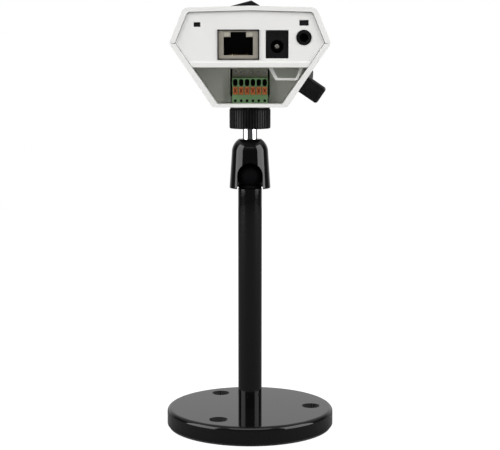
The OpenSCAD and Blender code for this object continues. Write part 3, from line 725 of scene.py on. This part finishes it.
def terminal_plug():
    """A block with an entry, a tab window and a test hole for each wire, and black sleeves in the holes as
    painted shade.
    """
    low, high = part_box("terminal_plug")
    front = high.y
    bm = box_mesh(low, high)
    soften(bm, 0.15 * MM, 30, 2)
    entry_z = high.z - 2.05 * MM
    test_z = low.z + 1.0 * MM
    test_radius = 0.62
    shade_depth = 0.4 * MM
    window_half_w = 1.05 * MM
    window_margin = 0.1 * MM
    cutters = []
    hole_shades = []
    for wire, x in enumerate(wire_places(), 1):
        tab_low, tab_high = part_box(f"terminal_tab_{wire}")
        middle_x = ((tab_low + tab_high) / 2).x
        cutters.append(upright(wire_entry(0, 8 * MM), x, front - 6.4 * MM, entry_z))
        hole_shades.append(upright(wire_entry(0.02, shade_depth), x, front - 1.6 * MM, entry_z))
        test_hole = cylinder_mesh(test_radius * MM, 0, 4 * MM, 24)
        test_hole_shade = cylinder_mesh((test_radius + 0.02) * MM, 0, shade_depth, 24)
        cutters.append(upright(test_hole, x, front - 3 * MM, test_z))
        hole_shades.append(upright(test_hole_shade, x, front - 0.75 * MM, test_z))
        cutters.append(box_mesh(
            (middle_x - window_half_w, front - 3 * MM, tab_low.z - window_margin),
            (middle_x + window_half_w, front + 1 * MM, tab_high.z + window_margin),
        ))
    bm = cut_mesh(bm, cutters)
    stand_for(new_piece("terminal_plug_fine", bm, "green"), "terminal_plug")
    # Painted shade: dead black sleeves that make the entries and test holes read dark
    add_on(new_piece("terminal_plug_hole_shades", merge(*hole_shades), "pit"), "terminal_plug")


def tab_crosses():
    """Dark red crosses on the faces of the release tabs: painted shade for the cross slots in them."""
    half_w, half_h = 0.16 * MM, 1.25 * MM
    lean = math.radians(31)
    for index in range(1, WIRES + 1):
        node = f"terminal_tab_{index}"
        low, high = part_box(node)
        middle = (low + high) / 2
        shift = Matrix.Translation((middle.x, high.y - 0.02 * MM, middle.z))
        strokes = []
        for side in (-1, 1):
            stroke = box_mesh((-half_w, -0.1 * MM, -half_h), (half_w, 0.03 * MM, half_h))
            strokes.append(place(stroke, shift @ Matrix.Rotation(lean * side, 4, "Y")))
        add_on(new_piece(f"tab_cross_{index}", merge(*strokes), "red_painted_shade"), node)


def header_contacts():
    """Two rows of tin leaves on the header, above the plug."""
    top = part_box("terminal_header")[1].z
    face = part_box("terminal_plug")[0].y + 3.2 * MM
    sunk, proud = 0.1 * MM, 0.12 * MM
    rows = ((top - 1.7 * MM, 0.75 * MM, 0.7 * MM), (top - 3.9 * MM, 0.6 * MM, 1.1 * MM))
    leaves = []
    for x in wire_places():
        for z, half_w, height in rows:
            leaf = box_mesh((x - half_w, face - sunk, z), (x + half_w, face + proud, z + height))
            soften(leaf, 0.04 * MM)
            leaves.append(leaf)
    add_on(new_piece("header_leaves", merge(*leaves), "steel"), "terminal_header")


def gap_shadow_ring(node, name, height, clearance, depth):
    """A dead black ring in the gap between a socket's nose and its cut-out in the rear panel: painted
    shadow in the gap.
    """
    low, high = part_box(node)
    low.z = high.z - height
    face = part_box("rear_panel")[1].y
    overlap = 0.05 * MM
    outer = box_mesh(
        (low.x - clearance, face - depth, low.z - clearance),
        (high.x + clearance, face - 0.1 * MM, high.z + clearance),
    )
    inner = box_mesh(
        (low.x + overlap, face - 2 * depth, low.z + overlap),
        (high.x - overlap, face + depth, high.z - overlap),
    )
    add_on(new_piece(name, cut_mesh(outer, [inner]), "pit"), "rear_panel")


terminal_plug()
tab_crosses()
header_contacts()
# Painted shadow: a black ring that shows as a dark line round the RJ45 socket
gap_shadow_ring("rj45_shield", "rj45_gap_shadow", 11.65 * MM, 0.36 * MM, 0.8 * MM)


# ---------------------------------------------------------------- iris connection

# The slanted side: its lower edge at the plug, its slope, and how far up it the plug sits
SIDE_FOOT = Vector((-15.5, -40, 143)) * MM
SIDE_SLOPE = math.atan2(26.4, 18.0)
PLUG_UP_SIDE = 12.2 * MM
MOTOR_TURN = math.radians(15)


def iris_plug():
    """A tall plug, drawn upright and laid against the slanted side."""
    half_w, half_l = 4.3, 5.0
    inner, outer = -5.2, 13.0
    edge, corner = 1.3, 1.2
    shank_inset, shank_corner = 0.2, 0.7
    step = 0.01
    sections = [
        (inner, half_w - shank_inset, half_l - shank_inset, shank_corner),
        (0, half_w - shank_inset, half_l - shank_inset, shank_corner),
        (step, half_w, half_l, corner),
        (outer - edge, half_w, half_l, corner),
    ]
    for angle in (20, 40, 60, 78, 90):
        inset = edge * (1 - math.cos(math.radians(angle)))
        rise = edge * math.sin(math.radians(angle))
        radius = max(corner - inset * 0.6, 0.3)
        sections.append((outer - edge + rise, half_w - inset, half_l - inset, radius))
    bm = loft([tuple(value * MM for value in section) for section in sections])
    up_slope = Vector((-math.cos(SIDE_SLOPE), 0, math.sin(SIDE_SLOPE)))
    outward = Vector((-math.sin(SIDE_SLOPE), 0, -math.cos(SIDE_SLOPE)))
    against_side = Matrix((
        (up_slope.x, 0, outward.x, 0), (0, 1, 0, 0), (up_slope.z, 0, outward.z, 0), (0, 0, 0, 1),
    ))
    place(bm, Matrix.Translation(SIDE_FOOT + up_slope * PLUG_UP_SIDE) @ against_side)
    stand_for(new_piece("iris_plug_fine", bm, "satin_black", 40), "iris_plug")


def iris_plug_relief():
    """Soft sleeve that leads the cable out of the plug and up along the side."""
    route = [
        (-26.9, -45.1, 151.9), (-27.1, -47.2, 152.1), (-27.3, -49.5, 153.1),
        (-27.7, -51.8, 154.8), (-28.1, -54.0, 156.9), (-28.3, -54.6, 157.6),
    ]
    radii = [2.3, 2.4, 2.35, 2.2, 2.0, 1.5]
    bm = tube([Vector(point) * MM for point in route], [radius * MM for radius in radii])
    add_on(new_piece("iris_plug_relief", bm, "rubber"), "iris_lead")


def iris_lead():
    """The lead from the plug to the lens's motor, along the housing's side and round its front edge."""
    route = [
        (-27, -45, 152), (-26.9, -47.5, 152.2), (-26.6, -50.5, 153.6), (-27.2, -54.5, 157),
        (-29.9, -60, 161), (-32.8, -66, 165.3), (-35.3, -72, 169.5), (-34.7, -78, 173),
        (-31, -83, 176.5), (-26.5, -86.5, 180), (-21, -88.7, 183), (-15.5, -89.7, 185.2),
    ]
    radius = 1.48 * MM
    motor_y = -90
    above_lens = 18
    for reach in (16.0, 14.1):
        x = above_lens * math.sin(MOTOR_TURN) - reach * math.cos(MOTOR_TURN)
        z = LENS_Z / MM + above_lens * math.cos(MOTOR_TURN) + reach * math.sin(MOTOR_TURN)
        route.append((x, motor_y, z))
    points = smooth_route([Vector(point) * MM for point in route])
    bm = tube(points, [radius] * len(points), 20)
    stand_for(new_piece("iris_lead_fine", bm, "rubber"), "iris_lead")


refined("iris_socket", "black", 0.15 * MM)
iris_plug()
iris_plug_relief()
iris_lead()


# ---------------------------------------------------------------- lens

refined("lens_body", "anodised", 0.12 * MM)
refined("iris_motor", "satin_black", 1.1 * MM, 4, 20)
for node in ("iris_blade_upper", "iris_blade_lower"):
    refined(node, "anodised", 0)
for node in ("zoom_ring", "focus_ring"):
    refined(node, "anodised", 0.08 * MM)
for node in ("zoom_lock_screw", "focus_lock_screw"):
    refined(node, "steel", 0.08 * MM)
refined("front_ring", "anodised", 0.15 * MM)
refined("front_element", "glass", 0)
refined("rear_element", "glass", 0)


# ---------------------------------------------------------------- studio

FLOOR_RADIUS = 0.9
FLOOR_LIFT = 0.88

# The world's radiance at the horizon on its -Y and +Y sides, overhead, and as the camera sees it,
# and the heights and directions between which the parts blend
HORIZON_BEHIND = 0.75
HORIZON_FRONT = 0.06
ZENITH = 0.6
BACKDROP = 1.0
HORIZON_BLEND = -0.95, -0.5
ZENITH_BLEND = 0.3, 0.75

# The light above: place, target, size and radiance
TOP_PLACE = 0, 0.75, 1.15
TOP_TARGET = 0, 0, 0.15
TOP_WIDTH = 1.1
TOP_LENGTH = 0.8
TOP_RADIANCE = 2.2

# The two tall side lights: degrees off the Y axis, distance, height of their middle, size and radiance
SIDE_AZIMUTH = 71
SIDE_DISTANCE = 1.0
SIDE_MIDDLE = 0.56
SIDE_WIDTH = 0.86
SIDE_HEIGHT = 1.1
SIDE_RADIANCE = 5.2


def aim(obj, target):
    direction = Vector(target) - obj.location
    obj.rotation_euler = direction.to_track_quat("-Z", "Y").to_euler()


def softbox(name, location, target, width, height, radiance):
    """A rectangular light of the given radiance, whatever its size."""
    data = bpy.data.lights.new(name, "AREA")
    data.shape = "RECTANGLE"
    data.size = width
    data.size_y = height
    data.energy = radiance * math.pi * width * height
    light = bpy.data.objects.new(name, data)
    bpy.context.scene.collection.objects.link(light)
    light.location = location
    aim(light, target)


def world_sky():
    """Pale light overhead, less at the horizon, and a white backdrop where the camera sees the world."""
    world = bpy.data.worlds.new("studio")
    bpy.context.scene.world = world
    world.use_nodes = True
    nodes, links = world.node_tree.nodes, world.node_tree.links
    background = nodes["Background"]
    background.inputs["Color"].default_value = (1, 1, 1, 1)
    direction = nodes.new("ShaderNodeSeparateXYZ")
    links.new(nodes.new("ShaderNodeTexCoord").outputs["Generated"], direction.inputs["Vector"])

    def ramp(value, low, high, to_low, to_high):
        node = nodes.new("ShaderNodeMapRange")
        node.interpolation_type = "SMOOTHSTEP"
        node.inputs["From Min"].default_value = low
        node.inputs["From Max"].default_value = high
        for key, to in (("To Min", to_low), ("To Max", to_high)):
            if isinstance(to, float):
                node.inputs[key].default_value = to
            else:
                links.new(to, node.inputs[key])
        links.new(value, node.inputs["Value"])
        return node.outputs["Result"]

    horizon = ramp(direction.outputs["Y"], *HORIZON_BLEND, HORIZON_BEHIND, HORIZON_FRONT)
    light = ramp(direction.outputs["Z"], *ZENITH_BLEND, horizon, ZENITH)
    seen = ramp(nodes.new("ShaderNodeLightPath").outputs["Is Camera Ray"], 0.0, 1.0, light, BACKDROP)
    links.new(seen, background.inputs["Strength"])


def studio():
    for side in (-1, 1):
        angle = math.radians(SIDE_AZIMUTH) * side
        location = (SIDE_DISTANCE * math.sin(angle), SIDE_DISTANCE * math.cos(angle), SIDE_MIDDLE)
        target = (0, 0, SIDE_MIDDLE)
        softbox(f"side_box_{side + 1}", location, target, SIDE_WIDTH, SIDE_HEIGHT, SIDE_RADIANCE)
    softbox("top_box", TOP_PLACE, TOP_TARGET, TOP_WIDTH, TOP_LENGTH, TOP_RADIANCE)
    floor_mesh = bmesh.new()
    bmesh.ops.create_circle(floor_mesh, cap_ends=True, segments=128, radius=FLOOR_RADIUS)
    mesh = bpy.data.meshes.new("floor")
    floor_mesh.to_mesh(mesh)
    floor_mesh.free()
    floor = bpy.data.objects.new("floor", mesh)
    bpy.context.scene.collection.objects.link(floor)
    mesh.materials.append(pale_floor())
    world_sky()
    bpy.context.scene.view_settings.view_transform = "Standard"
    bpy.context.scene.view_settings.look = "None"


studio()
